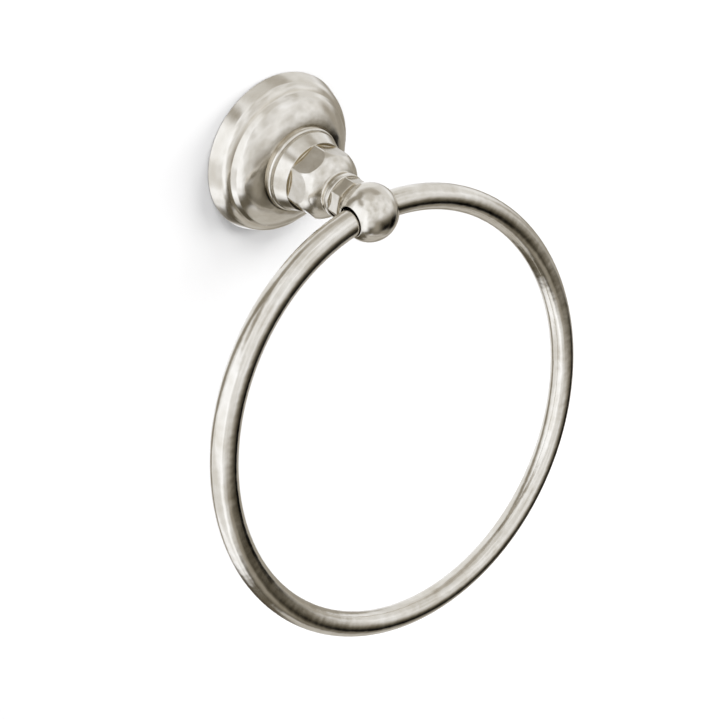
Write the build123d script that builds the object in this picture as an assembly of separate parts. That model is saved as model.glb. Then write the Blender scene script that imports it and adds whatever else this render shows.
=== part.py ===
from build123d import *
import os
from math import cos, radians, sin, sqrt

# Towel ring: a turned rose on the wall, a post with seven flats, a ball, and a ring that hangs in the ball.
# Millimetres. The origin is on the wall at the middle of the rose, -Y points to the front and +Z up.

# Rose: a turned cover with a tapered rim, a rounded edge, a step, a dome, a cove and a bead
RIM_DIAMETER = 61.5
RIM_SIDE = 4.3
RIM_TAPER = 1.65
RIM_BULGE = 0.05
RIM_EDGE_WIDTH = 3.0
RIM_EDGE_RISE = 2.7
RIM_EDGE_BULGE = 0.32
STEP_TAPER = 1.05
STEP_RISE = 1.85
DOME_RISE = 5.15
DOME_BULGE = 0.75
COVE_WIDTH = 1.2
COVE_RISE = 0.4
COVE_DIP = 0.1
BEAD_DIAMETER = 31.8
BEAD_STAND = 0.6
BEAD_WIDTH = 1.6
ROSE_WALL = 2.2

# Wall plate: the disc under the rose, with two countersunk screw holes and a V groove in its edge
PLATE_THICKNESS = 3.5
PLATE_CLEARANCE = 0.2
PLATE_HOLE_DIAMETER = 4.5
PLATE_HOLE_SPACING = 32.0
COUNTERSINK_DIAMETER = 8.5
EDGE_GROOVE_DEPTH = 1.2

# Set screw: a grub screw from below that bites into the plate's edge groove
SET_SCREW_DIAMETER = 3.0
SET_SCREW_LENGTH = 4.0
SET_SCREW_FROM_WALL = 2.0
SET_SCREW_KEY = 1.5
SET_SCREW_KEY_DEPTH = 1.5
POINT_GAP = 0.15

# Post body: a foot and tapered collar, the flats, a dome and a short neck
FOOT_DIAMETER = 28.4
FOOT_HEIGHT = 0.6
COLLAR_EDGE_WIDTH = 0.65
COLLAR_EDGE_RISE = 0.6
COLLAR_TAPER = 1.85
COLLAR_LENGTH = 4.8
COLLAR_STEP = 0.1
POST_DIAMETER = 26.2
POST_FLAT_DEPTH = 1.2
FLAT_COUNT = 7
STRAIGHT_LENGTH = 4.5
POST_DOME_RADIUS = 8.6
POST_DOME_SWEEP = 66.0
POST_COVE_RADIUS = 0.8
POST_NECK_LENGTH = 1.4

# Ring holder: a shoulder, a flatted shank and a ball with a cross bore
SHOULDER_STAND = 0.7
SHOULDER_WIDTH = 1.9
SHOULDER_CHAMFER = 0.25
SHANK_STEP = 0.35
SHANK_FLAT_DEPTH = 0.73
SHANK_LENGTH = 12.6
BALL_DIAMETER = 20.5
BORE_CLEARANCE = 0.35
MOUTH_CHAMFER = 0.4

# Ring: a round bar bent to a closed ring, swung forward from hanging straight down
RING_CENTRELINE_DIAMETER = 166.0
RING_BAR_DIAMETER = 9.5
RING_SWING = 18.4

# Tie screw and lock washer: they pull rose, post and ring holder together
TIE_SCREW_DIAMETER = 6.0
TIE_SCREW_HEAD_DIAMETER = 10.0
TIE_SCREW_HEAD_HEIGHT = 4.0
TIE_SCREW_KEY = 4.0
TIE_SCREW_KEY_DEPTH = 2.3
TIE_SCREW_POINT = 0.6
TIE_SCREW_GRIP = 5.5
WASHER_DIAMETER = 11.8
WASHER_THICKNESS = 1.6
WASHER_SPLIT = 0.8
HOLE_CLEARANCE = 0.3
THREAD_CLEARANCE = 0.05
TAPPED_RUNOUT = 0.6

# Registers: short round spigots that centre the post in the rose and the ring holder in the post
POST_REGISTER_DIAMETER = 16.0
HOLDER_REGISTER_DIAMETER = 10.0
REGISTER_LENGTH = 2.0
REGISTER_CLEARANCE = 0.1

# Rose, from the rim inwards: radii and distances from the wall
rim_radius = RIM_DIAMETER / 2
rim_front_radius = rim_radius - RIM_TAPER
step_foot_radius = rim_front_radius - RIM_EDGE_WIDTH
step_foot = RIM_SIDE + RIM_EDGE_RISE
dome_foot_radius = step_foot_radius - STEP_TAPER
dome_foot = step_foot + STEP_RISE
bead_root_radius = BEAD_DIAMETER / 2 - BEAD_STAND
dome_top_radius = bead_root_radius + COVE_WIDTH
dome_top = dome_foot + DOME_RISE
bead_back = dome_top + COVE_RISE
rose_seat = bead_back + BEAD_WIDTH
cavity_face = dome_top - ROSE_WALL
cavity_radius = rim_front_radius - ROSE_WALL
plate_radius = cavity_radius - PLATE_CLEARANCE
cavity_step = PLATE_THICKNESS + PLATE_CLEARANCE

# Post body, from the rose outwards
post_radius = POST_DIAMETER / 2
post_flat = post_radius - POST_FLAT_DEPTH
foot_radius = FOOT_DIAMETER / 2
collar_foot = rose_seat + FOOT_HEIGHT
collar_front_radius = post_radius + COLLAR_STEP
collar_back_radius = collar_front_radius + COLLAR_TAPER
collar_back = collar_foot + COLLAR_EDGE_RISE
collar_front = collar_back + COLLAR_LENGTH
dome_start = collar_front + STRAIGHT_LENGTH
dome_centre_radius = post_radius - POST_DOME_RADIUS
dome_end_radius = dome_centre_radius + POST_DOME_RADIUS * cos(radians(POST_DOME_SWEEP))
dome_end = dome_start + POST_DOME_RADIUS * sin(radians(POST_DOME_SWEEP))
post_neck_radius = dome_end_radius - POST_COVE_RADIUS * (1 - cos(radians(POST_DOME_SWEEP)))
post_neck = dome_end + POST_COVE_RADIUS * sin(radians(POST_DOME_SWEEP))
post_front = post_neck + POST_NECK_LENGTH

# Ring holder and ring
shoulder_radius = post_neck_radius + SHOULDER_STAND
shoulder_front = post_front + SHOULDER_WIDTH
shank_radius = shoulder_radius - SHANK_STEP
shank_flat = shank_radius - SHANK_FLAT_DEPTH
ball_radius = BALL_DIAMETER / 2
ball_centre = shoulder_front + SHANK_LENGTH
ring_radius = RING_CENTRELINE_DIAMETER / 2
bar_radius = RING_BAR_DIAMETER / 2
bore_half_length = sqrt(ball_radius**2 - bar_radius**2)
bar_bow = ring_radius - sqrt(ring_radius**2 - bore_half_length**2)
bore_radius = bar_radius + bar_bow + BORE_CLEARANCE

# Tie screw
screw_radius = TIE_SCREW_DIAMETER / 2
screw_hole_radius = screw_radius + HOLE_CLEARANCE
screw_seat = cavity_face - WASHER_THICKNESS
screw_tip = post_front + TIE_SCREW_GRIP

FROM_BACK = (Align.CENTER, Align.CENTER, Align.MIN)
CORNER_UP = 90
# Turned pieces are drawn along local Z, the distance from the wall, and this plane lays them to the front.
TO_FRONT = Plane.XZ
# Local Z of this plane runs down from the post's axis, through the middle of the set screw.
UNDERSIDE = Plane((0, 0, SET_SCREW_FROM_WALL), x_dir=(1, 0, 0), z_dir=(0, -1, 0))


def turned(*outline):
    """Solid of a closed half outline, drawn as (radius, distance) points and arcs, spun about the axis."""
    return revolve(Plane.XZ * make_face(Curve() + list(outline)), Axis.Z)


def rod(radius, start, end):
    """Round rod on the axis between two distances."""
    return Pos(0, 0, start) * Cylinder(radius, end - start, align=FROM_BACK)


def prism(flat_radius, sides, start, end):
    """Many-sided bar on the axis, its flats at a given radius and one corner up."""
    section = RegularPolygon(flat_radius, sides, major_radius=False, rotation=CORNER_UP)
    return extrude(Pos(0, 0, start) * section, end - start)


def milled(blank, flat_radius, start, end):
    """Blank with the post's flats milled on it between two distances."""
    waste = rod(2 * flat_radius, start, end) - prism(flat_radius, FLAT_COUNT, start, end)
    return blank - waste


def dome_arc(shift):
    """Crowned line of the rose's dome, moved in and back by the given amount."""
    foot = (dome_foot_radius - shift, dome_foot - shift)
    top = (dome_top_radius - shift, dome_top - shift)
    return SagittaArc(foot, top, -DOME_BULGE)


def make_escutcheon():
    """Turned rose: tapered rim, rounded edge, step, dome, cove and bead outside, hollow for the plate behind."""
    rim = SagittaArc((rim_radius, 0), (rim_front_radius, RIM_SIDE), -RIM_BULGE)
    rim_edge = SagittaArc((rim_front_radius, RIM_SIDE), (step_foot_radius, step_foot), -RIM_EDGE_BULGE)
    step = Line((step_foot_radius, step_foot), (dome_foot_radius, dome_foot))
    cove = SagittaArc((dome_top_radius, dome_top), (bead_root_radius, bead_back), COVE_DIP)
    bead = SagittaArc((bead_root_radius, bead_back), (bead_root_radius, rose_seat), -BEAD_STAND)
    recess_radius = POST_REGISTER_DIAMETER / 2 + REGISTER_CLEARANCE
    recess_floor = rose_seat - REGISTER_LENGTH - REGISTER_CLEARANCE
    seat = Polyline(
        (bead_root_radius, rose_seat),
        (recess_radius, rose_seat),
        (recess_radius, recess_floor),
        (screw_hole_radius, recess_floor),
        (screw_hole_radius, cavity_face),
        (dome_top_radius - ROSE_WALL, cavity_face),
    )
    mouth = Polyline(
        (dome_foot_radius - ROSE_WALL, dome_foot - ROSE_WALL),
        (dome_foot_radius - ROSE_WALL, cavity_step),
        (cavity_radius, cavity_step),
        (cavity_radius, 0),
        (rim_radius, 0),
    )
    front = (rim, rim_edge, step, dome_arc(0), cove, bead)
    shell = turned(*front, seat, dome_arc(ROSE_WALL), mouth)
    set_screw_hole = rod(SET_SCREW_DIAMETER / 2 + THREAD_CLEARANCE, plate_radius, rim_radius)
    return shell - UNDERSIDE * set_screw_hole


def make_wall_plate():
    """Disc with a V groove round its edge and two countersunk holes side by side."""
    groove = turned(
        Polyline(
            (plate_radius - EDGE_GROOVE_DEPTH, SET_SCREW_FROM_WALL),
            (plate_radius, SET_SCREW_FROM_WALL - EDGE_GROOVE_DEPTH),
            (plate_radius, SET_SCREW_FROM_WALL + EDGE_GROOVE_DEPTH),
            close=True,
        )
    )
    hole_radius = PLATE_HOLE_DIAMETER / 2
    sink_radius = COUNTERSINK_DIAMETER / 2
    sink_floor = PLATE_THICKNESS - (sink_radius - hole_radius)
    hole = turned(
        Polyline(
            (0, 0),
            (hole_radius, 0),
            (hole_radius, sink_floor),
            (sink_radius, PLATE_THICKNESS),
            (0, PLATE_THICKNESS),
            close=True,
        )
    )
    plate = rod(plate_radius, 0, PLATE_THICKNESS) - groove
    for side in (-1, 1):
        plate -= Pos(side * PLATE_HOLE_SPACING / 2, 0, 0) * hole
    return plate


def make_set_screw():
    """Cone-pointed grub screw with a hexagon socket, its point just clear of the plate's groove."""
    radius = SET_SCREW_DIAMETER / 2
    tip = plate_radius - EDGE_GROOVE_DEPTH + POINT_GAP
    end = tip + SET_SCREW_LENGTH
    screw = turned(Polyline((0, tip), (radius, tip + radius), (radius, end), (0, end), close=True))
    return UNDERSIDE * (screw - prism(SET_SCREW_KEY / 2, 6, end - SET_SCREW_KEY_DEPTH, end))


def make_post_body():
    """Turned post: register, foot, tapered collar, flats that run out into a dome, cove and neck."""
    register_radius = POST_REGISTER_DIAMETER / 2
    recess_radius = HOLDER_REGISTER_DIAMETER / 2 + REGISTER_CLEARANCE
    recess_floor = post_front - REGISTER_LENGTH - REGISTER_CLEARANCE
    back = Polyline(
        (screw_hole_radius, rose_seat - REGISTER_LENGTH),
        (register_radius, rose_seat - REGISTER_LENGTH),
        (register_radius, rose_seat),
        (foot_radius, rose_seat),
        (foot_radius, collar_foot),
        (collar_back_radius - COLLAR_EDGE_WIDTH, collar_foot),
    )
    collar_edge = TangentArc(
        (collar_back_radius - COLLAR_EDGE_WIDTH, collar_foot),
        (collar_back_radius, collar_back),
        tangent=(1, 0),
    )
    side = Polyline(
        (collar_back_radius, collar_back),
        (collar_front_radius, collar_front),
        (post_radius, collar_front),
        (post_radius, dome_start),
    )
    dome = RadiusArc((post_radius, dome_start), (dome_end_radius, dome_end), -POST_DOME_RADIUS)
    cove = RadiusArc((dome_end_radius, dome_end), (post_neck_radius, post_neck), POST_COVE_RADIUS)
    front = Polyline(
        (post_neck_radius, post_neck),
        (post_neck_radius, post_front),
        (recess_radius, post_front),
        (recess_radius, recess_floor),
        (screw_hole_radius, recess_floor),
        (screw_hole_radius, rose_seat - REGISTER_LENGTH),
    )
    blank = turned(back, collar_edge, side, dome, cove, front)
    return milled(blank, post_flat, collar_front, post_front)


def make_ring_holder():
    """Shoulder, flatted shank and ball in one, cross bored for the ring and tapped behind."""
    register_radius = HOLDER_REGISTER_DIAMETER / 2
    shoulder = turned(
        Polyline(
            (0, post_front - REGISTER_LENGTH),
            (register_radius, post_front - REGISTER_LENGTH),
            (register_radius, post_front),
            (shoulder_radius - SHOULDER_CHAMFER, post_front),
            (shoulder_radius, post_front + SHOULDER_CHAMFER),
            (shoulder_radius, shoulder_front - SHOULDER_CHAMFER),
            (shoulder_radius - SHOULDER_CHAMFER, shoulder_front),
            (0, shoulder_front),
            close=True,
        )
    )
    shank = milled(rod(shank_radius, shoulder_front, ball_centre), shank_flat, shoulder_front, ball_centre)
    ball = Pos(0, 0, ball_centre) * Sphere(ball_radius)
    tapped_radius = screw_radius + THREAD_CLEARANCE
    tapped_hole = rod(tapped_radius, post_front - REGISTER_LENGTH, screw_tip + TAPPED_RUNOUT)
    return shoulder + shank + ball - make_bore() - tapped_hole


def make_bore():
    """Cutter for the ball's straight cross bore, opened at both mouths by a chamfer."""
    mouth = sqrt(ball_radius**2 - bore_radius**2) - MOUTH_CHAMFER
    flare_radius = bore_radius + ball_radius - mouth
    cutter = turned(
        Polyline(
            (0, -ball_radius),
            (flare_radius, -ball_radius),
            (bore_radius, -mouth),
            (bore_radius, mouth),
            (flare_radius, ball_radius),
            (0, ball_radius),
            close=True,
        )
    )
    return Pos(0, 0, ball_centre) * Rot(0, 90, 0) * cutter


def make_tie_screw():
    """Socket-head screw from inside the rose, through the post, into the ring holder."""
    screw = turned(
        Polyline(
            (0, screw_seat - TIE_SCREW_HEAD_HEIGHT),
            (TIE_SCREW_HEAD_DIAMETER / 2, screw_seat - TIE_SCREW_HEAD_HEIGHT),
            (TIE_SCREW_HEAD_DIAMETER / 2, screw_seat),
            (screw_radius, screw_seat),
            (screw_radius, screw_tip - TIE_SCREW_POINT),
            (screw_radius - TIE_SCREW_POINT, screw_tip),
            (0, screw_tip),
            close=True,
        )
    )
    head_back = screw_seat - TIE_SCREW_HEAD_HEIGHT
    return screw - prism(TIE_SCREW_KEY / 2, 6, head_back, head_back + TIE_SCREW_KEY_DEPTH)


def make_lock_washer():
    """Split washer between the tie screw's head and the rose."""
    blank = rod(WASHER_DIAMETER / 2, screw_seat, cavity_face)
    hole = rod(screw_hole_radius, screw_seat, cavity_face)
    split = Box(WASHER_SPLIT, WASHER_DIAMETER, WASHER_THICKNESS, align=(Align.CENTER, Align.MIN, Align.MIN))
    return blank - hole - Pos(0, 0, screw_seat) * split


def make_ring():
    """Closed ring of round bar, hung with its centreline through the middle of the ball and swung forward."""
    hanging = Pos(0, 0, -ring_radius) * Rot(90, 0, 0) * Torus(ring_radius, bar_radius)
    return Pos(0, -ball_centre, 0) * Rot(-RING_SWING, 0, 0) * hanging


on_the_axis = {
    "escutcheon": make_escutcheon(),
    "wall_plate": make_wall_plate(),
    "set_screw": make_set_screw(),
    "post_body": make_post_body(),
    "ring_holder": make_ring_holder(),
    "tie_screw": make_tie_screw(),
    "lock_washer": make_lock_washer(),
}
os.makedirs("parts", exist_ok=True)
for name, piece in on_the_axis.items():
    export_step(TO_FRONT * piece, f"parts/{name}.step")
export_step(make_ring(), "parts/ring.step")
print(f"from the wall: rose seat {rose_seat:.2f}, post front {post_front:.2f}, ball centre {ball_centre:.3f}")
print(f"bore radius {bore_radius:.2f}, shoulder radius {shoulder_radius:.2f}")
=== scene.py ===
# %% [markdown]
# A wall-mounted towel ring in satin nickel: a turned rose, a post with seven milled flats, a ball with a
# cross bore, and a ring of round bar that hangs loose in the bore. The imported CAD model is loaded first
# as a fixed frame, in metres, with the wall at y = 0, the front towards -Y and up along +Z. The pieces
# below are drawn in millimetres in that same frame, so none of them needs fitting afterwards. The camera,
# the sheet and the lights are placed in metres.

import bmesh
import bpy
import numpy as np
from mathutils import Matrix, Vector


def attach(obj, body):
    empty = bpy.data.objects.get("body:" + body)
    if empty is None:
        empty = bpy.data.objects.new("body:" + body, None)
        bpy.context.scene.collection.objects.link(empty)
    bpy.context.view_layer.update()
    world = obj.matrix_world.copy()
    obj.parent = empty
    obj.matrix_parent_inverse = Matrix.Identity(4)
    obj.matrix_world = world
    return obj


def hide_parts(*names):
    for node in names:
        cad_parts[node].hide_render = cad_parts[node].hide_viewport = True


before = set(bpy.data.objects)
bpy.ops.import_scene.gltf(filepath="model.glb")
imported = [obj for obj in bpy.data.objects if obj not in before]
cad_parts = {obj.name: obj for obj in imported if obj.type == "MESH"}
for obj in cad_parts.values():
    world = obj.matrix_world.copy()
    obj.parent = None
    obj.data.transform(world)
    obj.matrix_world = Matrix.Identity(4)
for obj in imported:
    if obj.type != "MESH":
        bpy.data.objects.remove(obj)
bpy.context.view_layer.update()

# %% [markdown]
# The camera stands to the upper left and looks down on the rose. Its place and lens could be found by
# eye, but the ring is a known circle and the rose another, so the picture fixes them by calculation. The
# camera is turned by a matrix of its right, up and backward directions, which leaves no roll to guess.

# %% camera
CAMERA_PLACE = Vector((-0.19669, -0.27294, 0.19866))
CAMERA_LOOK = Vector((0.4876, 0.5622, -0.6679)).normalized()
CAMERA_LENS = 51.97
SENSOR_WIDTH = 36.0
NEAREST_SEEN = 0.01
FARTHEST_SEEN = 30.0

camera_right = CAMERA_LOOK.cross(Vector((0, 0, 1))).normalized()
camera_up = camera_right.cross(CAMERA_LOOK)
camera_data = bpy.data.cameras.new("studio_camera")
camera_data.lens = CAMERA_LENS
camera_data.sensor_width = SENSOR_WIDTH
camera_data.clip_start = NEAREST_SEEN
camera_data.clip_end = FARTHEST_SEEN
camera = bpy.data.objects.new("studio_camera", camera_data)
bpy.context.collection.objects.link(camera)
camera_turn = Matrix((camera_right, camera_up, -CAMERA_LOOK)).transposed().to_4x4()
camera.matrix_world = Matrix.Translation(CAMERA_PLACE) @ camera_turn
bpy.context.scene.camera = camera
print("camera at", [round(v, 3) for v in camera.location])

# %% [markdown]
# Every new surface is a grid of points: rows along a profile and columns round an axis. A grid needs
# only its points and one rule for which four neighbours make a face, so whole arrays replace loops over
# vertices. Where a row shrinks to a point on the axis, its doubled points are merged, which closes the
# pole. The signed volume of the closed grid tells which way its faces point, and they are turned round
# as one where it comes out negative.

# %% grids to meshes
MM = 0.001
MERGE_DISTANCE = 1e-7
CUBIC_MM_IN_CM = 1000


def grid_quads(rows, columns, close_rows=True, close_columns=True):
    """Corner numbers of a grid's faces, with last rows or columns joined to the first where closed."""
    row = np.arange(rows if close_rows else rows - 1)[:, None]
    column = np.arange(columns if close_columns else columns - 1)[None, :]
    row_start = row * columns
    next_row_start = (row + 1) % rows * columns
    next_column = (column + 1) % columns
    near_corners = [row_start + column, row_start + next_column]
    far_corners = [next_row_start + next_column, next_row_start + column]
    return np.stack(near_corners + far_corners, axis=-1).reshape(-1, 4)


def signed_volume(points, quads):
    """Sum of the tetrahedra from the origin to each half face: positive where the faces point outwards."""
    a, b, c, d = (points[quads[:, k]] for k in range(4))
    halves = np.einsum("ij,ij->i", a, np.cross(b, c)) + np.einsum("ij,ij->i", a, np.cross(c, d))
    return halves.sum() / 6


def put_mesh(name, points, quads):
    """Object with these points, in millimetres, doubled points merged and faces pointing outwards."""
    volume = signed_volume(points, quads)
    if volume < 0:
        quads = quads[:, ::-1]
    mesh = bpy.data.meshes.new(name)
    mesh.from_pydata((points * MM).tolist(), [], quads.tolist())
    merged = bmesh.new()
    merged.from_mesh(mesh)
    bmesh.ops.remove_doubles(merged, verts=merged.verts, dist=MERGE_DISTANCE)
    merged.to_mesh(mesh)
    merged.free()
    piece = bpy.data.objects.new(name, mesh)
    bpy.context.collection.objects.link(piece)
    print(f"{name}: {len(mesh.vertices)} points, {abs(volume) / CUBIC_MM_IN_CM:.2f} cm3")
    return piece


# %% [markdown]
# Turned work is drawn as a half outline of (radius, distance along the axis), which for most pieces is
# the distance from the wall. Lines and arcs give the crisp form, and then a short moving average along
# the outline rounds each corner by a fraction of a millimetre, the way a buffing wheel does. Those small
# rounds catch the light as thin bright lines, which a sharp CAD edge never shows. The points are then
# spread by length and by turning, so the rounds get many and the straight runs few.

# %% outlines
BUFF_STEP = 0.03
RUN_STEP = 0.7
TURN_STEP = np.radians(5.0)
SAME_POINT = 1e-9


def arc(start, end, rise, count=40):
    """Arc between two outline points. Its middle stands off the chord by rise, to the right of the way."""
    start = np.array(start, dtype=float)
    end = np.array(end, dtype=float)
    half = np.hypot(*(end - start)) / 2
    along = (end - start) / (2 * half)
    side = np.array([along[1], -along[0]])
    radius = (half**2 + rise**2) / (2 * rise)
    centre = (start + end) / 2 + side * (rise - radius)
    angle = np.linspace(-1, 1, count)[:, None] * 2 * np.arctan(rise / half)
    return centre + radius * (np.cos(angle) * side + np.sin(angle) * along)


def points_at(places, measure, outline):
    """Outline points at the given places, where measure holds the place of each point of the outline."""
    return np.stack([np.interp(places, measure, outline[:, k]) for k in range(2)], axis=1)


def even_points(outline, step, closed):
    """The outline resampled at equal steps of its length."""
    outline = np.array(outline, dtype=float)
    if closed:
        outline = np.vstack([outline, outline[:1]])
    length = np.concatenate([[0], np.cumsum(np.hypot(*np.diff(outline, axis=0).T))])
    keep = np.concatenate([[True], np.diff(length) > SAME_POINT])
    outline = outline[keep]
    length = length[keep]
    count = int(np.ceil(length[-1] / step))
    return points_at(np.linspace(0, length[-1], count, endpoint=not closed), length, outline)


def buffed(outline, reach, closed=True):
    """Moving average of the outline over the given reach, which rounds corners and leaves long runs alone."""
    points = even_points(outline, BUFF_STEP, closed)
    pad = max(1, int(reach / BUFF_STEP / 2))
    if closed:
        before = points[-pad:]
        after = points[:pad]
    else:
        before = 2 * points[0] - points[pad:0:-1]
        after = 2 * points[-1] - points[-2 : -pad - 2 : -1]
    padded = np.vstack([before, points, after])
    kernel = np.ones(2 * pad + 1) / (2 * pad + 1)
    return np.stack([np.convolve(padded[:, k], kernel, mode="valid") for k in range(2)], axis=1)


def spread(outline, closed=True):
    """Fewer points on the outline, spaced so that each step covers a like share of length and turning."""
    loop = np.vstack([outline, outline[:1]]) if closed else outline
    run = np.diff(loop, axis=0)
    heading = np.unwrap(np.arctan2(run[:, 1], run[:, 0]))
    turning = np.abs(np.diff(heading, append=heading[-1:]))
    cost = np.concatenate([[0], np.cumsum(np.hypot(*run.T) / RUN_STEP + turning / TURN_STEP)])
    count = int(np.ceil(cost[-1]))
    return points_at(np.linspace(0, cost[-1], count, endpoint=not closed), cost, loop)


# Columns of the matrix: where the outline's two radial directions and its axis point in the frame.
FORWARD = np.array([(1, 0, 0), (0, 0, 1), (0, -1, 0)]).T


def turned(name, outline, columns, axis=FORWARD, place=(0, 0, 0), closed=True):
    """Piece from an outline that is carried once round its axis, then turned and moved into place."""
    angle = np.linspace(0, 2 * np.pi, columns, endpoint=False)
    radius = outline[:, :1]
    local = np.broadcast_arrays(radius * np.cos(angle), radius * np.sin(angle), outline[:, 1:])
    points = np.stack(local, axis=-1).reshape(-1, 3) @ axis.T + np.array(place)
    return put_mesh(name, points, grid_quads(len(outline), columns, close_rows=closed))


# %% [markdown]
# The rose is one turned cover: a tapered rim, a rounded ledge, a step, a crowned dome, a slight cove and
# the bead that the post stands on, hollow behind for the wall plate. It could stay the CAD solid, whose
# form is right, but its corners are knife sharp. Here the same outline is drawn again and buffed, so the
# step and the bead get the soft bright lines of real plated work. Each bow is how far an arc stands off
# its chord.

# %% rose
RIM_BACK = (30.75, 0.0)
RIM_FRONT = (29.1, 4.3)
RIM_BOW = 0.05
LEDGE_BOW = 0.32
STEP_FOOT = (26.1, 7.0)
DOME_FOOT = (25.05, 8.85)
DOME_TOP = (16.5, 14.0)
DOME_BOW = 0.75
COVE_BOW = -0.1
BEAD_BACK = (15.3, 14.4)
BEAD_BOW = 0.6
ROSE_SEAT = 16.0
ROSE_WALL = 2.2
REGISTER_RADIUS = 8.0
REGISTER_DEPTH = 2.0
REGISTER_GAP = 0.1
SCREW_HOLE_RADIUS = 3.3
PLATE_ROOM = 3.7
ROSE_BUFF = 0.20
ROSE_COLUMNS = 240

inner_foot = np.subtract(DOME_FOOT, ROSE_WALL)
inner_top = np.subtract(DOME_TOP, ROSE_WALL)
recess_radius = REGISTER_RADIUS + REGISTER_GAP
recess_floor = ROSE_SEAT - REGISTER_DEPTH - REGISTER_GAP
room_radius = RIM_FRONT[0] - ROSE_WALL
rose_outline = np.vstack([
    arc(RIM_BACK, RIM_FRONT, RIM_BOW),
    arc(RIM_FRONT, STEP_FOOT, LEDGE_BOW),
    arc(DOME_FOOT, DOME_TOP, DOME_BOW),
    arc(DOME_TOP, BEAD_BACK, COVE_BOW),
    arc(BEAD_BACK, (BEAD_BACK[0], ROSE_SEAT), BEAD_BOW),
    [(recess_radius, ROSE_SEAT), (recess_radius, recess_floor)],
    [(SCREW_HOLE_RADIUS, recess_floor), (SCREW_HOLE_RADIUS, inner_top[1])],
    arc(inner_top, inner_foot, -DOME_BOW),
    [(inner_foot[0], PLATE_ROOM), (room_radius, PLATE_ROOM), (room_radius, 0.0)],
])
rose = turned("rose", spread(buffed(rose_outline, ROSE_BUFF)), ROSE_COLUMNS)

# %% [markdown]
# A grub screw enters the rim from below. Its hole is a short cylinder taken out of the rose by Blender's
# exact Boolean. The cutter is a turned shape as well, with a flare at the mouth for the deburred edge. The
# result replaces the mesh, so no live modifier and no cutter stay behind.

# %% set screw hole
GRUB_HOLE_RADIUS = 1.55
GRUB_FROM_WALL = 2.0
GRUB_FLARE = 0.35
CUTTER_SPARE = 1.0
HOLE_COLUMNS = 48
ROSE_CREASE = 30.0
DOWNWARD = np.array([(1, 0, 0), (0, -1, 0), (0, 0, -1)]).T


def boolean(piece, tool, operation):
    """Joins or cuts two closed pieces exactly, keeps the result in the first and deletes the second."""
    modifier = piece.modifiers.new("shape", "BOOLEAN")
    modifier.operation = operation
    modifier.solver = "EXACT"
    modifier.object = tool
    graph = bpy.context.evaluated_depsgraph_get()
    result = bpy.data.meshes.new_from_object(piece.evaluated_get(graph))
    piece.modifiers.clear()
    piece.data = result
    result.name = piece.name
    bpy.data.objects.remove(tool)


def shade_smooth(piece, crease_degrees=40.0):
    """Smooth shading with the edges that turn by more than the crease angle kept sharp."""
    mesh = piece.data
    mesh.polygons.foreach_set("use_smooth", np.ones(len(mesh.polygons), dtype=bool))
    mesh.set_sharp_from_angle(angle=np.radians(crease_degrees))
    mesh.update()


rim_at_grub = RIM_BACK[0] + (RIM_FRONT[0] - RIM_BACK[0]) * GRUB_FROM_WALL / RIM_FRONT[1]
cutter_start = room_radius - CUTTER_SPARE
flare_start = rim_at_grub - GRUB_FLARE
cutter_end = flare_start + CUTTER_SPARE
grub_outline = np.array([
    (0.0, cutter_start),
    (GRUB_HOLE_RADIUS, cutter_start),
    (GRUB_HOLE_RADIUS, flare_start),
    (GRUB_HOLE_RADIUS + CUTTER_SPARE, cutter_end),
    (0.0, cutter_end),
])
grub_place = (0.0, -GRUB_FROM_WALL, 0.0)
grub_cutter = turned("grub_hole", grub_outline, HOLE_COLUMNS, DOWNWARD, grub_place, closed=False)
boolean(rose, grub_cutter, "DIFFERENCE")
shade_smooth(rose, ROSE_CREASE)
print("rose faces", len(rose.data.polygons))

# %% [markdown]
# The post carries the finest work on this object: seven milled flats that start at a crescent ledge in
# front of the collar and run out into the dome. A Boolean with a seven-sided bar would do it, but the
# run-out lines would then be chains of slivers. In polar form each flat is radius = apothem / cos(angle),
# so the place where it meets the dome is known for every column, and the grid gets a row exactly on it.

# %% flats on turned work
FLAT_COUNT = 7
CORNER_UP = np.pi / 2
HALF_FLAT = np.pi / FLAT_COUNT
# A corner's column stands just shy of it, in degrees, and a ledge leans by a little, in millimetres.
SHY_OF_CORNER = 1e-4
LEDGE_LEAN = 0.01


def flat_columns(apothem, radius, inner=26, blend=0.35):
    """Angles round the axis, closest together where a flat ends, and each angle off its flat's middle."""
    edge = np.degrees(np.arccos(apothem / radius))
    half = np.degrees(HALF_FLAT)
    middle = np.linspace(-edge + blend, edge - blend, inner)
    corner = np.array([edge - blend / 2, edge, (edge + half) / 2, half - SHY_OF_CORNER])
    offsets = np.concatenate([-corner[::-1][1:], middle, corner])
    centres = CORNER_UP + HALF_FLAT * (1 + 2 * np.arange(FLAT_COUNT))
    off = np.tile(np.radians(offsets), FLAT_COUNT)
    return np.repeat(centres, len(offsets)) + off, off


def ledge_rows(outer, flat_radius, start, fillet, wall_rows=5, fillet_rows=7):
    """Crescent ledge: straight in from the bar's radius, then a quarter-round fillet on to the flat."""
    foot = np.minimum(flat_radius + fillet, outer)
    share = np.linspace(0, 1, wall_rows)[:, None]
    wall_radius = outer + (foot - outer) * share
    # Adding 0 * foot gives every column its own copy of a row's distance.
    wall_distance = start + LEDGE_LEAN * share + 0 * foot
    turn = np.linspace(0, np.pi / 2, fillet_rows)[1:, None]
    fillet_radius = np.minimum(flat_radius + fillet * (1 - np.sin(turn)), outer)
    fillet_distance = start + LEDGE_LEAN + fillet * (1 - np.cos(turn)) + 0 * foot
    return np.vstack([wall_radius, fillet_radius]), np.vstack([wall_distance, fillet_distance])


def eased(count, gather):
    """Numbers from 0 to 1 that gather towards both ends, so that a crease has close rows on each side."""
    even = np.linspace(0, 1, count)
    return (1 - gather) * even + gather * (0.5 - 0.5 * np.cos(np.pi * even))


def full_rows(outline, columns):
    """A turned stretch of outline as rows that have the same radius and distance in every column."""
    return [np.repeat(outline[:, k : k + 1], columns, axis=1) for k in range(2)]


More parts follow.
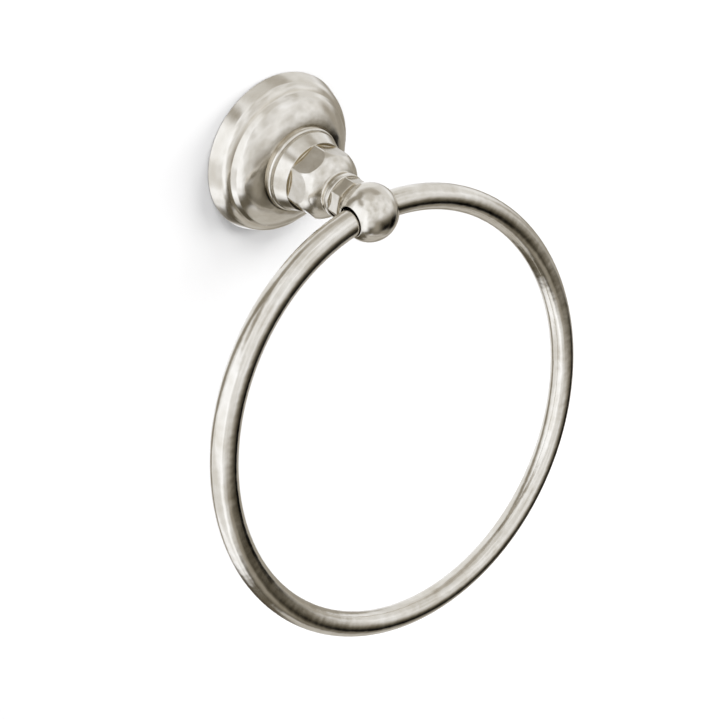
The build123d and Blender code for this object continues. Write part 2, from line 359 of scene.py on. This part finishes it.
def flatted(name, stretches, angle, closed=True):
    """Piece from stretches of rows, each a pair of arrays (radius, distance) with a column per angle."""
    radius = np.vstack([stretch[0] for stretch in stretches])
    distance = np.vstack([stretch[1] for stretch in stretches])
    points = np.stack([radius * np.cos(angle), -distance, radius * np.sin(angle)], axis=-1).reshape(-1, 3)
    return put_mesh(name, points, grid_quads(*radius.shape, close_rows=closed))


# %% [markdown]
# The post is put together from five stretches: the turned foot and collar, the crescent ledges, the
# flats, the dome, and the turned neck with the socket and the bore inside it. The collar's outline runs
# on past the ledge's edge, so that the edge is buffed on both sides, and that spare end is then dropped.

# %% post
POST_RADIUS = 13.1
POST_APOTHEM = 11.9
POST_LEDGE = 22.0
GROOVE_RADIUS = 14.6
COLLAR_FOOT = (14.7, 16.3)
COLLAR_BACK = (15.05, 17.2)
COLLAR_BOW = 0.1
COLLAR_FRONT_RADIUS = 13.2
LEDGE_SPARE = 0.5
LEDGE_TOLERANCE = 1e-3
LEDGE_FILLET = 0.3
FLAT_ROWS = 26
FLAT_GATHER = 0.7
DOME_START = 26.5
DOME_RADIUS = 8.6
DOME_CENTRE = POST_RADIUS - DOME_RADIUS
DOME_SWEEP = np.radians(66.0)
DOME_ROWS = 30
DOME_GATHER = 0.6
NECK_RADIUS = 7.52
NECK_START = 35.087
NECK_BOW = -0.133
NECK_POINTS = 16
POST_FRONT = 36.487
SOCKET_RADIUS = 5.1
SOCKET_FLOOR = 34.387
POST_BUFF = 0.24

post_angle, post_off = flat_columns(POST_APOTHEM, POST_RADIUS)
post_flat = np.minimum(POST_APOTHEM / np.cos(post_off), POST_RADIUS)[None, :]
register_back = ROSE_SEAT - REGISTER_DEPTH
collar_outline = np.vstack([
    [(REGISTER_RADIUS, register_back), (REGISTER_RADIUS, ROSE_SEAT)],
    [(GROOVE_RADIUS, ROSE_SEAT), (GROOVE_RADIUS, COLLAR_FOOT[1])],
    arc(COLLAR_FOOT, COLLAR_BACK, COLLAR_BOW),
    [(COLLAR_FRONT_RADIUS, POST_LEDGE), (POST_RADIUS - LEDGE_SPARE, POST_LEDGE)],
])
collar = spread(buffed(collar_outline, POST_BUFF, closed=False), closed=False)
spare_end = (collar[:, 1] > POST_LEDGE - LEDGE_TOLERANCE) & (collar[:, 0] < POST_RADIUS)
collar = collar[~spare_end]

post_ledge = ledge_rows(POST_RADIUS, post_flat, POST_LEDGE, LEDGE_FILLET)
run_out = np.arccos(np.clip((post_flat - DOME_CENTRE) / DOME_RADIUS, -1, 1))
flat_start = post_ledge[1][-1:]
flat_end = DOME_START + DOME_RADIUS * np.sin(run_out)
flat_share = eased(FLAT_ROWS, FLAT_GATHER)[1:, None]
flat_run = (post_flat + 0 * flat_share, flat_start + (flat_end - flat_start) * flat_share)
dome_turn = run_out + (DOME_SWEEP - run_out) * eased(DOME_ROWS, DOME_GATHER)[1:, None]
dome_radius = DOME_CENTRE + DOME_RADIUS * np.cos(dome_turn)
dome_distance = DOME_START + DOME_RADIUS * np.sin(dome_turn)
dome_end = (dome_radius[-1, 0], dome_distance[-1, 0])

neck_outline = np.vstack([
    arc(dome_end, (NECK_RADIUS, NECK_START), NECK_BOW, NECK_POINTS),
    [(NECK_RADIUS, POST_FRONT), (SOCKET_RADIUS, POST_FRONT), (SOCKET_RADIUS, SOCKET_FLOOR)],
    [(SCREW_HOLE_RADIUS, SOCKET_FLOOR), (SCREW_HOLE_RADIUS, register_back)],
])
neck = spread(buffed(neck_outline, POST_BUFF / 2, closed=False), closed=False)[1:]
post_rows = [
    full_rows(collar, len(post_angle)),
    post_ledge,
    flat_run,
    (dome_radius, dome_distance),
    full_rows(neck, len(post_angle)),
]
post = flatted("post", post_rows, post_angle)
shade_smooth(post)

# %% [markdown]
# The ring holder is a shoulder, a short shank with the same seven flats, and a ball. The ball with its
# cross bore is itself a turned shape, but about the bore's axis, so it gets its own outline with a rounded
# bright mouth at each end. The shank ends in a small cove, where each flat's radius grows with the square
# of the way to the ball until it meets the ball's slope. An exact Boolean then joins the two into one
# closed skin, and the hole for the tie screw is bored last.

# %% ring holder
SHANK_RADIUS = 7.87
SHANK_APOTHEM = 7.14
SHANK_FLAT_COLUMNS = 20
SHANK_FILLET = 0.15
SHANK_ROWS = 14
SHANK_END = 46.0
SHOULDER_RADIUS = 8.22
SHOULDER_FRONT = 38.387
SHOULDER_CHAMFER = 0.25
SHOULDER_BUFF = 0.18
SPIGOT_RADIUS = 5.0
SPIGOT_LENGTH = 2.0
END_INSET = 1.0
COVE_START = 42.4
COVE_END = 45.0
COVE_END_RADIUS = 8.2
COVE_ROWS = 12
BALL_CENTRE = 50.987
BALL_RADIUS = 10.25
BALL_POINTS = 160
BALL_COLUMNS = 160
BALL_BUFF = 0.3
BORE_RADIUS = 5.27
MOUTH_CHAMFER = 0.4
LIP_WIDTH = 0.31
TAPPED_RADIUS = 3.05
TAPPED_END = 42.587
HOLDER_CREASE = 22.0
SIDEWAYS = np.array([(0, 1, 0), (0, 0, 1), (1, 0, 0)]).T

shank_angle, shank_off = flat_columns(SHANK_APOTHEM, SHANK_RADIUS, inner=SHANK_FLAT_COLUMNS)
shank_flat = np.minimum(SHANK_APOTHEM / np.cos(shank_off), SHANK_RADIUS)[None, :]
spigot_back = POST_FRONT - SPIGOT_LENGTH
chamfer_radius = SHOULDER_RADIUS - SHOULDER_CHAMFER
shoulder_outline = np.array([
    (SPIGOT_RADIUS - END_INSET, spigot_back),
    (SPIGOT_RADIUS, spigot_back),
    (SPIGOT_RADIUS, POST_FRONT),
    (chamfer_radius, POST_FRONT),
    (SHOULDER_RADIUS, POST_FRONT + SHOULDER_CHAMFER),
    (SHOULDER_RADIUS, SHOULDER_FRONT - SHOULDER_CHAMFER),
    (chamfer_radius, SHOULDER_FRONT),
    (SHANK_RADIUS, SHOULDER_FRONT),
])
shoulder = spread(buffed(shoulder_outline, SHOULDER_BUFF, closed=False), closed=False)
shoulder = np.vstack([[(0.0, spigot_back)], shoulder])

shank_ledge = ledge_rows(SHANK_RADIUS, shank_flat, SHOULDER_FRONT, SHANK_FILLET)
shank_start = shank_ledge[1][-1:]
shank_share = np.linspace(0, 1, SHANK_ROWS)[1:, None]
shank_run = (shank_flat + 0 * shank_share, shank_start + (COVE_START - shank_start) * shank_share)
cove_share = np.linspace(0, 1, COVE_ROWS)[1:, None]
cove_radius = shank_flat + (COVE_END_RADIUS - shank_flat) * cove_share**2
cove_distance = COVE_START + (COVE_END - COVE_START) * cove_share + 0 * shank_flat
shank_cap = np.array([(COVE_END_RADIUS - END_INSET, SHANK_END), (0.0, SHANK_END)])
holder_rows = [
    full_rows(shoulder, len(shank_angle)),
    shank_ledge,
    shank_run,
    (cove_radius, cove_distance),
    full_rows(shank_cap, len(shank_angle)),
]
holder = flatted("ring_holder_skin", holder_rows, shank_angle, closed=False)

mouth = np.sqrt(BALL_RADIUS**2 - BORE_RADIUS**2) - MOUTH_CHAMFER
lip_angle = np.arcsin((BORE_RADIUS + LIP_WIDTH) / BALL_RADIUS)
ball_turn = np.linspace(lip_angle, np.pi - lip_angle, BALL_POINTS)
ball_outline = np.vstack([
    np.stack([BALL_RADIUS * np.sin(ball_turn), BALL_RADIUS * np.cos(ball_turn)], axis=1),
    [(BORE_RADIUS, -mouth), (BORE_RADIUS, mouth)],
])
ball_skin = spread(buffed(ball_outline, BALL_BUFF))
ball = turned("ball", ball_skin, BALL_COLUMNS, SIDEWAYS, (0.0, -BALL_CENTRE, 0.0))
boolean(holder, ball, "UNION")
tapped_back = spigot_back - CUTTER_SPARE
tapped_outline = np.array([
    (0.0, tapped_back),
    (TAPPED_RADIUS, tapped_back),
    (TAPPED_RADIUS, TAPPED_END),
    (0.0, TAPPED_END),
])
tapped_cutter = turned("tapped_hole", tapped_outline, HOLE_COLUMNS, closed=False)
boolean(holder, tapped_cutter, "DIFFERENCE")
shade_smooth(holder, HOLDER_CREASE)
print("ring holder faces", len(holder.data.polygons))

# %% [markdown]
# The ring is round bar bent to a circle. It passes through the ball and hangs a little forward of the
# post. A Blender torus would give the same form, but this grid starts its first row in the middle of the
# bore, so that the one seam of any pattern that runs along the bar is hidden there. Each point also keeps
# its place on the bar as an attribute, for brush lines that follow the bar.

# %% ring
RING_RADIUS = 83.0
BAR_RADIUS = 4.75
RING_SWING = np.radians(18.4)
RING_ROWS = 420
RING_COLUMNS = 56

along_ring = np.linspace(0, 2 * np.pi, RING_ROWS, endpoint=False)[:, None]
round_bar = np.linspace(0, 2 * np.pi, RING_COLUMNS, endpoint=False)[None, :]
from_middle = RING_RADIUS + BAR_RADIUS * np.cos(round_bar)
across_bar = BAR_RADIUS * np.sin(round_bar) + 0 * along_ring
hanging = np.stack([
    from_middle * np.sin(along_ring),
    across_bar,
    from_middle * np.cos(along_ring) - RING_RADIUS,
], axis=-1)
swing_turn = np.array([
    [1, 0, 0],
    [0, np.cos(RING_SWING), np.sin(RING_SWING)],
    [0, -np.sin(RING_SWING), np.cos(RING_SWING)],
])
ring_points = hanging.reshape(-1, 3) @ swing_turn.T + np.array([0.0, -BALL_CENTRE, 0.0])
ring = put_mesh("towel_ring", ring_points, grid_quads(RING_ROWS, RING_COLUMNS))
place_on_bar = np.stack([
    BAR_RADIUS * np.cos(round_bar) + 0 * along_ring,
    across_bar,
    RING_RADIUS * along_ring + 0 * round_bar,
], axis=-1)
on_bar = ring.data.attributes.new("on_bar", "FLOAT_VECTOR", "POINT")
on_bar.data.foreach_set("vector", (place_on_bar * MM).ravel())
shade_smooth(ring)

# %% [markdown]
# Satin nickel is a warm grey metal, brushed by hand and plated, so it mirrors its surroundings softly and
# a little unevenly. One shader group gives the unevenness to every piece: broad and small patches, fine
# brush lines along the way the piece was polished, and from these a height for Bump, a roughness and a
# tone. A second group lays the brush lines round the post's axis, as a polishing wheel leaves them on
# turned work. A third marks ring-shaped corners for painted shade: a brown that stands in for the shade
# and the warm reflections in those corners.

# %% finish groups
FLOAT = "NodeSocketFloat"
VECTOR = "NodeSocketVector"
BROAD_NOISE = {"Scale": 0.4, "Detail": 0.0}
SMALL_NOISE = {"Scale": 1.0, "Detail": 1.0, "Roughness": 0.4}
LINE_NOISE = {"Scale": 1.0, "Detail": 2.0, "Roughness": 0.6}
NOISE_MIDDLE = 0.5
LINE_HEIGHT = 0.05
LINE_DULLNESS = 0.6
PATCH_TONE = 0.7
LINE_TONE = 0.2
MIDDLE_TONE = 0.5


def new_group(name, inputs, outputs):
    """Empty shader group with named inputs and outputs, each with its kind of socket."""
    group = bpy.data.node_groups.new(name, "ShaderNodeTree")
    for label, kind in inputs.items():
        group.interface.new_socket(label, in_out="INPUT", socket_type=kind)
    for label, kind in outputs.items():
        group.interface.new_socket(label, in_out="OUTPUT", socket_type=kind)
    start = group.nodes.new("NodeGroupInput")
    end = group.nodes.new("NodeGroupOutput")
    return group, start.outputs, end.inputs


def add(tree, kind, links=(), **settings):
    """Node with attributes set, then inputs linked (to a socket) or given a value, by name or number."""
    node = tree.nodes.new(kind)
    for key, value in settings.items():
        setattr(node, key, value)
    for key, value in dict(links).items():
        if isinstance(value, bpy.types.NodeSocket):
            tree.links.new(value, node.inputs[key])
        else:
            node.inputs[key].default_value = value
    return node


def maths(tree, operation, *values):
    """Math node on up to three sockets or numbers."""
    return add(tree, "ShaderNodeMath", dict(enumerate(values)), operation=operation).outputs[0]


def noise_swing(tree, place, noise):
    """Noise texture at a place, as a swing about nought."""
    value = add(tree, "ShaderNodeTexNoise", {"Vector": place, **noise}).outputs["Fac"]
    return maths(tree, "SUBTRACT", value, NOISE_MIDDLE)


polish, polish_in, polish_out = new_group(
    "hand_polish",
    {"Patches": VECTOR, "Brush": VECTOR, "Lines": FLOAT},
    {"Height": FLOAT, "Unevenness": FLOAT, "Tone": FLOAT},
)
broad = noise_swing(polish, polish_in["Patches"], BROAD_NOISE)
small = noise_swing(polish, polish_in["Patches"], SMALL_NOISE)
lines = noise_swing(polish, polish_in["Brush"], LINE_NOISE)
lines = maths(polish, "MULTIPLY", lines, polish_in["Lines"])
patches = maths(polish, "ADD", broad, small)
polish.links.new(maths(polish, "MULTIPLY_ADD", lines, LINE_HEIGHT, patches), polish_out["Height"])
polish.links.new(maths(polish, "MULTIPLY_ADD", lines, LINE_DULLNESS, small), polish_out["Unevenness"])
line_tone = maths(polish, "MULTIPLY", lines, LINE_TONE)
tone_swing = maths(polish, "MULTIPLY_ADD", patches, PATCH_TONE, line_tone)
polish.links.new(maths(polish, "ADD", tone_swing, MIDDLE_TONE), polish_out["Tone"])


def hypotenuse(tree, first, second):
    """Root of the sum of two squares."""
    squares = [maths(tree, "POWER", side, 2.0) for side in (first, second)]
    return maths(tree, "SQRT", maths(tree, "ADD", *squares))


def off_axis(tree, position):
    """Distance of a position from the post's axis, and the position's three parts."""
    parts = add(tree, "ShaderNodeSeparateXYZ", {0: position}).outputs
    return hypotenuse(tree, parts["X"], parts["Z"]), parts


wheel, wheel_in, wheel_out = new_group(
    "wheel_lines",
    {"Position": VECTOR, "Across": FLOAT, "Round": FLOAT},
    {"Brush": VECTOR},
)
radius, parts = off_axis(wheel, wheel_in["Position"])
profile_place = maths(wheel, "MULTIPLY", maths(wheel, "ADD", radius, parts["Y"]), wheel_in["Across"])
cosine = maths(wheel, "MULTIPLY", maths(wheel, "DIVIDE", parts["X"], radius), wheel_in["Round"])
sine = maths(wheel, "MULTIPLY", maths(wheel, "DIVIDE", parts["Z"], radius), wheel_in["Round"])
wheel_place = add(wheel, "ShaderNodeCombineXYZ", {0: profile_place, 1: cosine, 2: sine})
wheel.links.new(wheel_place.outputs[0], wheel_out["Brush"])


def smooth_step(tree, value, low, high, at_low, at_high):
    """Smooth passage from one number at the low end to another at the high end, level beyond both."""
    ends = {0: value, 1: low, 2: high, 3: at_low, 4: at_high}
    return add(tree, "ShaderNodeMapRange", ends, interpolation_type="SMOOTHSTEP").outputs[0]


recess, recess_in, recess_out = new_group(
    "painted_recess_shade",
    {"Position": VECTOR, "Radius": FLOAT, "From Wall": FLOAT, "Reach": FLOAT, "Strength": FLOAT},
    {"Mask": FLOAT},
)
radius, parts = off_axis(recess, recess_in["Position"])
radial_gap = maths(recess, "SUBTRACT", radius, recess_in["Radius"])
axial_gap = maths(recess, "ADD", parts["Y"], recess_in["From Wall"])
away = hypotenuse(recess, radial_gap, axial_gap)
# Painted shade: strongest at the corner and gone at the reach.
painted_shade = smooth_step(recess, away, 0.0, recess_in["Reach"], recess_in["Strength"], 0.0)
recess.links.new(painted_shade, recess_out["Mask"])
print("groups", [group.name for group in bpy.data.node_groups])

# %% [markdown]
# The nickel itself is a fully metallic Principled shader. Its colour runs between a browner and a lighter
# tone with the polish, and roughness and bump follow the same group, so a dull patch is dull in every way
# at once. The ring's brush lines run along the bar, so there the stored place on the bar takes the wheel's
# part. The ball was buffed from all sides, so its marks lie no special way.

# %% satin nickel
NICKEL_TONES = ((0.545, 0.505, 0.43, 1.0), (0.755, 0.729, 0.674, 1.0))
# Painted shade: a brown laid into corners in place of their shade and warm reflections.
PAINTED_SHADE_BROWN = (0.35, 0.275, 0.15, 1.0)
LINES_PER_METRE = 3000.0
LINES_ROUND = 3.0
PATCHES_PER_METRE = 300.0
PATCHES_ROUND = 6.0
BALL_PATCHES_PER_METRE = 260.0
BAR_LINE_STRETCH = 50.0
# Corners that get painted shade in brown: radius, distance from the wall and reach in millimetres, and
# strength.
ROSE_CORNERS = (
    (STEP_FOOT[0] + 0.5, STEP_FOOT[1] - 0.4, 1.1, 0.18),
    (BEAD_BACK[0] + 0.9, BEAD_BACK[1] - 0.3, 1.0, 0.5),
)
POST_CORNERS = ((12.5, POST_LEDGE, 0.8, 1.0), (NECK_RADIUS, NECK_START, 0.8, 0.5))
BALL_CORNERS = ((7.5, SHOULDER_FRONT, 0.5, 0.35), (7.6, 43.6, 1.6, 0.65))


def group_node(tree, group, links):
    """Outputs of a shader group placed in a tree, with its inputs linked or set."""
    return add(tree, "ShaderNodeGroup", links, node_tree=group).outputs


def mixed_colour(tree, share, first, second):
    """Mix of two colours, each a socket or an RGBA value. The node's colour inputs are numbers 6 and 7."""
    return add(tree, "ShaderNodeMix", {0: share, 6: first, 7: second}, data_type="RGBA").outputs[2]


def own_place(tree):
    """Place of the shaded point in its piece's own frame, in metres."""
    return add(tree, "ShaderNodeTexCoord").outputs["Object"]


def scaled_places(tree, place, scales):
    """A place multiplied by each of several scales, which have a number for every direction."""
    return [add(tree, "ShaderNodeMapping", {"Vector": place, "Scale": scale}).outputs[0] for scale in scales]


def wheel_brush(tree):
    """Places for brush lines and for polish patches, both drawn out round the post's axis."""
    place = own_place(tree)
    line_scale = {"Position": place, "Across": LINES_PER_METRE, "Round": LINES_ROUND}
    patch_scale = {"Position": place, "Across": PATCHES_PER_METRE, "Round": PATCHES_ROUND}
    return [group_node(tree, wheel, scale)["Brush"] for scale in (line_scale, patch_scale)]


def ball_brush(tree):
    """Places for fine marks and for polish patches that lie no special way."""
    line_scale = (LINES_PER_METRE, LINES_PER_METRE, LINES_PER_METRE)
    patch_scale = (BALL_PATCHES_PER_METRE, BALL_PATCHES_PER_METRE, BALL_PATCHES_PER_METRE)
    return scaled_places(tree, own_place(tree), (line_scale, patch_scale))


def bar_brush(tree):
    """Places for brush lines along the ring's bar and for patches, from the place that each point keeps."""
    place = add(tree, "ShaderNodeAttribute", attribute_name="on_bar").outputs["Vector"]
    line_scale = (LINES_PER_METRE, LINES_PER_METRE, LINES_PER_METRE / BAR_LINE_STRETCH)
    patch_scale = (PATCHES_PER_METRE, PATCHES_PER_METRE, PATCHES_PER_METRE)
    return scaled_places(tree, place, (line_scale, patch_scale))


def polished_metal(name, tones, brush, lines, roughness, roughness_swing, bump, corners=()):
    """Metal whose tone, roughness and bump vary with the hand polish, with painted shade in the given
    corners.

    The share of brush lines is given by lines, and the height of the patches in metres by bump.
    """
    material = bpy.data.materials.new(name)
    material.use_nodes = True
    tree = material.node_tree
    shader = tree.nodes["Principled BSDF"]
    line_place, patch_place = brush(tree)
    finish = group_node(tree, polish, {"Patches": patch_place, "Brush": line_place, "Lines": lines})
    colour = mixed_colour(tree, finish["Tone"], *tones)
    for radius, from_wall, reach, strength in corners:
        mask = group_node(tree, recess, {
            "Position": own_place(tree),
            "Radius": radius * MM,
            "From Wall": from_wall * MM,
            "Reach": reach * MM,
            "Strength": strength,
        })["Mask"]
        # Painted shade and warm reflection, mixed into the colour in each corner.
        colour = mixed_colour(tree, mask, colour, PAINTED_SHADE_BROWN)
    dullness = maths(tree, "MULTIPLY_ADD", finish["Unevenness"], roughness_swing, roughness)
    relief = add(tree, "ShaderNodeBump", {"Height": finish["Height"], "Strength": 1.0, "Distance": bump})
    tree.links.new(colour, shader.inputs["Base Color"])
    tree.links.new(dullness, shader.inputs["Roughness"])
    tree.links.new(relief.outputs[0], shader.inputs["Normal"])
    shader.inputs["Metallic"].default_value = 1.0
    return material


rose_nickel = polished_metal(
    "satin_nickel_turned", NICKEL_TONES, wheel_brush,
    lines=1.0, roughness=0.15, roughness_swing=0.12, bump=0.00008, corners=ROSE_CORNERS,
)
post_nickel = polished_metal(
    "satin_nickel_milled", NICKEL_TONES, wheel_brush,
    lines=0.5, roughness=0.18, roughness_swing=0.06, bump=0.00002, corners=POST_CORNERS,
)
ball_nickel = polished_metal(
    "satin_nickel_ball", NICKEL_TONES, ball_brush,
    lines=0.5, roughness=0.15, roughness_swing=0.10, bump=0.00008, corners=BALL_CORNERS,
)
ring_nickel = polished_metal(
    "satin_nickel_bar", NICKEL_TONES, bar_brush,
    lines=1.2, roughness=0.15, roughness_swing=0.10, bump=0.0001,
)
dressed = (
    (rose, "escutcheon", "post", rose_nickel),
    (post, "post_body", "post", post_nickel),
    (holder, "ring_holder", "post", ball_nickel),
    (ring, "ring", "ring", ring_nickel),
)
for piece, node, body, material in dressed:
    piece.data.materials.clear()
    piece.data.materials.append(material)
    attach(piece, body)
    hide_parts(node)
print("dressed", [piece.name for piece, *_ in dressed])

# %% [markdown]
# The fixings stay the CAD solids: the wall plate, the tie screw with its washer and the grub screw. They
# are zinc plated steel, bluer and duller than the nickel, with the cloudy patches of a barrel plating. The
# same polish group serves, with faint marks that lie no special way.

# %% zinc plated fixings
ZINC_TONES = ((0.46, 0.47, 0.48, 1.0), (0.66, 0.67, 0.685, 1.0))
FIXINGS = ("wall_plate", "tie_screw", "lock_washer", "set_screw")

zinc = polished_metal(
    "zinc_plated_steel", ZINC_TONES, ball_brush,
    lines=0.3, roughness=0.33, roughness_swing=0.16, bump=0.00006,
)
for node in FIXINGS:
    bpy.data.objects[node].material_slots[0].material = zinc
print("zinc plated", list(FIXINGS))

# %% [markdown]
# The set is a white sheet that hangs behind the object as its wall and curves forward into a pale floor.
# It is clear from behind, so that views from the back still show the object. The metal doesn't mirror it,
# because the room that the metal shows is laid out in the next step.

# %% sheet
WALL_GAP = 0.0004
WALL_TOP = 1.6
FLOOR_HEIGHT = -0.46
SHEET_CURVE = 0.25
SHEET_REACH = 3.0
CURVE_POINTS = 24
SHEET_COLUMNS = 9
SHEET_WHITE = (0.462, 0.460, 0.458, 1.0)

curve_turn = np.linspace(0, np.pi / 2, CURVE_POINTS)
curve_forward = WALL_GAP - SHEET_CURVE * (1 - np.cos(curve_turn))
curve_height = FLOOR_HEIGHT + SHEET_CURVE * (1 - np.sin(curve_turn))
sheet_line = np.vstack([
    [(WALL_GAP, WALL_TOP)],
    np.stack([curve_forward, curve_height], axis=1),
    [(-SHEET_REACH, FLOOR_HEIGHT)],
])
sheet_across = np.linspace(-SHEET_REACH, SHEET_REACH, SHEET_COLUMNS)
sheet_places = np.broadcast_arrays(sheet_across, sheet_line[:, :1], sheet_line[:, 1:])
sheet_points = np.stack(sheet_places, axis=-1).reshape(-1, 3)
sheet_quads = grid_quads(len(sheet_line), len(sheet_across), close_rows=False, close_columns=False)
sheet_mesh = bpy.data.meshes.new("sheet")
sheet_mesh.from_pydata(sheet_points.tolist(), [], sheet_quads[:, ::-1].tolist())
sheet_mesh.polygons.foreach_set("use_smooth", np.ones(len(sheet_quads), dtype=bool))
sheet = bpy.data.objects.new("sheet", sheet_mesh)
bpy.context.collection.objects.link(sheet)
sheet.visible_glossy = False
sheet_white = bpy.data.materials.new("sheet_white")
sheet_white.use_nodes = True
tree = sheet_white.node_tree
shader = tree.nodes["Principled BSDF"]
shader.inputs["Base Color"].default_value = SHEET_WHITE
shader.inputs["Roughness"].default_value = 1.0
shader.inputs["Specular IOR Level"].default_value = 0.0
clear = add(tree, "ShaderNodeBsdfTransparent")
behind_it = add(tree, "ShaderNodeNewGeometry").outputs["Backfacing"]
mix = add(tree, "ShaderNodeMixShader", {0: behind_it, 1: shader.outputs[0], 2: clear.outputs[0]})
tree.links.new(mix.outputs[0], tree.nodes["Material Output"].inputs["Surface"])
sheet_mesh.materials.append(sheet_white)
print("sheet normal", [round(v, 2) for v in sheet_mesh.polygons[0].normal])

# %% [markdown]
# Metal shows the room more than itself, so the light is laid out as a studio. White cloth hangs all
# round, softly folded, so its brightness is a little uneven. Over it lie the panels, each a window in
# azimuth and elevation with blurred edges. A big softbox stands at the left, and a dark mat lies in front,
# mostly to the right, which draws the black lines. Each panel has one light level, and a dim panel is
# warmer than a bright one, as it is in a room.

# %% studio panels
CLOTH_DIM = 0.58
CLOTH_BRIGHT = 1.6
CLOTH_FOLDS = {"Scale": 3.5, "Detail": 1.0, "Roughness": 0.5}
BACKDROP = (0.95, 0.95, 0.95, 1.0)
# Share of green and of blue in a light of a given level: constant, slope and bend.
GREEN_SHARE = (0.85, 0.22, -0.066)
BLUE_SHARE = (0.58, 0.62, -0.18)
HALF_TURN = 180.0
PANEL_SIZES = ("Middle", "Half Width", "Height", "Half Height", "Soft", "Slant")
# The six sizes in degrees, apart from the slant, which is a rise per degree, then the light level.
PANELS = {
    "ceiling": (0, 200, 90, 18, 8, 0, 0.86),
    "ceiling corner": (132, 46, 56, 16, 10, 0, 0.62),
    "right panel": (100, 22, 27, 15, 8, 0, 0.98),
    "wall beside": (165, 35, 8, 25, 10, 0, 1.11),
    "dim corner": (104, 30, -26, 22, 9, 0, 0.43),
    "right stand": (80, 8, -6, 15, 7, 0, 0.55),
    "wall below": (160, 24, -35, 12, 5, 0, 1.12),
    "floor below": (0, 200, -90, 28, 6, 0, 0.66),
    "floor corner": (120, 26, -50, 9, 6, 0, 0.48),
    "wall foot": (140, 45, -62, 8, 6, 0, 0.40),
    "left softbox": (-93, 31, 19, 24, 5, 0, 1.38),
    "left card": (-95, 30, -20, 14, 5, 0, 1.05),
    "left floor": (-100, 26, -43, 8, 4, 0, 1.40),
    "left strip": (-57, 8, 2, 37, 4, 0, 1.46),
    "softbox frame": (-115, 36, 56, 7, 6, 0, 0.50),
    "top light": (-65, 28, 69, 8, 7, 0, 1.26),
    "stand": (-149, 13, 5, 62, 6, 0, 0.38),
    "stand top": (-168, 20, 55, 13, 7, 0, 0.42),
    "mat front": (33, 54, -55, 8, 6, 0, 0.33),
    "stand shadow": (-130, 60, -69, 10, 5, 0, 0.12),
    "mat edge": (-62, 42, -58, 11, 6, 0.45, 0.17),
    "mat left": (-16, 28, -41, 15, 8, 0, 0.12),
    "mat glow": (20, 48, -23, 26, 15, 0, 0.40),
    "mat": (35, 37, -29, 18, 10, 0, 0.10),
    "mat core": (27, 16, -35, 10, 7, 0, 0.0),
    "mat far core": (62, 16, -33, 14, 6, 0, 0.0),
}


def window(tree, off, half, soft):
    """1 inside the half width, 0 outside, with a smooth step of the given softness between."""
    low = maths(tree, "SUBTRACT", half, soft)
    high = maths(tree, "ADD", half, soft)
    return smooth_step(tree, maths(tree, "ABSOLUTE", off), low, high, 1.0, 0.0)


panel, panel_in, panel_out = new_group(
    "studio_panel",
    {label: FLOAT for label in ("Azimuth", "Elevation", *PANEL_SIZES)},
    {"Mask": FLOAT},
)
turn_off = maths(panel, "SUBTRACT", panel_in["Azimuth"], panel_in["Middle"])
sideways = maths(panel, "WRAP", turn_off, HALF_TURN, -HALF_TURN)
middle_height = maths(panel, "MULTIPLY_ADD", sideways, panel_in["Slant"], panel_in["Height"])
upwards = maths(panel, "SUBTRACT", panel_in["Elevation"], middle_height)
across_mask = window(panel, sideways, panel_in["Half Width"], panel_in["Soft"])
up_mask = window(panel, upwards, panel_in["Half Height"], panel_in["Soft"])
panel.links.new(maths(panel, "MULTIPLY", across_mask, up_mask), panel_out["Mask"])


def room_colour(level):
    """Light of a given level, warmer where it is dim."""
    shares = (GREEN_SHARE, BLUE_SHARE)
    green, blue = (constant + slope * level + bend * level**2 for constant, slope, bend in shares)
    return (level, level * green, level * blue, 1.0)


world = bpy.data.worlds.new("studio")
world.use_nodes = True
bpy.context.scene.world = world
tree = world.node_tree
outwards = add(tree, "ShaderNodeTexCoord").outputs["Generated"]
direction = add(tree, "ShaderNodeSeparateXYZ", {0: outwards}).outputs
to_front = maths(tree, "MULTIPLY", direction["Y"], -1.0)
azimuth = maths(tree, "DEGREES", maths(tree, "ARCTAN2", direction["X"], to_front))
elevation = maths(tree, "DEGREES", maths(tree, "ARCSINE", direction["Z"]))
folds = add(tree, "ShaderNodeTexNoise", {"Vector": outwards, **CLOTH_FOLDS}).outputs["Fac"]
light = mixed_colour(tree, folds, room_colour(CLOTH_DIM), room_colour(CLOTH_BRIGHT))
for *sizes, level in PANELS.values():
    links = {"Azimuth": azimuth, "Elevation": elevation, **dict(zip(PANEL_SIZES, sizes))}
    light = mixed_colour(tree, group_node(tree, panel, links)["Mask"], light, room_colour(level))
seen = add(tree, "ShaderNodeLightPath").outputs["Is Camera Ray"]
tree.links.new(mixed_colour(tree, seen, light, BACKDROP), tree.nodes["Background"].inputs["Color"])
print("panels", len(PANELS))

# %% [markdown]
# Three area lights, to the right, to the upper right and above, give the wall its soft shadow to the left
# of the rose and below it. They are hidden from reflections, so they add no second picture of themselves
# to the metal. Only the rose blocks them: post, ball and ring stand well off the wall, where such lights
# leave no more than a grey haze of a shadow. The Standard view keeps the tones as they are lit.

# %% wall lights
WALL_LIGHTS = {
    "side_panel": Vector((3.48, -1.96, 0.0)),
    "corner_panel": Vector((2.36, -1.6, 2.8)),
    "top_panel": Vector((-0.2, -1.96, 3.48)),
}
LIGHT_SIZE = 1.5
LIGHT_POWER = 148.0

blockers = bpy.data.collections.new("light_blockers")
blockers.objects.link(rose)
for name, light_place in WALL_LIGHTS.items():
    light_data = bpy.data.lights.new(name, "AREA")
    light_data.size = LIGHT_SIZE
    light_data.energy = LIGHT_POWER
    lamp = bpy.data.objects.new(name, light_data)
    bpy.context.collection.objects.link(lamp)
    lamp.location = light_place
    lamp.rotation_euler = (-light_place).to_track_quat("-Z", "Y").to_euler()
    lamp.visible_glossy = False
    lamp.visible_camera = False
    lamp.light_linking.blocker_collection = blockers
bpy.context.scene.view_settings.view_transform = "Standard"
bpy.context.scene.view_settings.look = "None"
print("wall lights", list(WALL_LIGHTS))
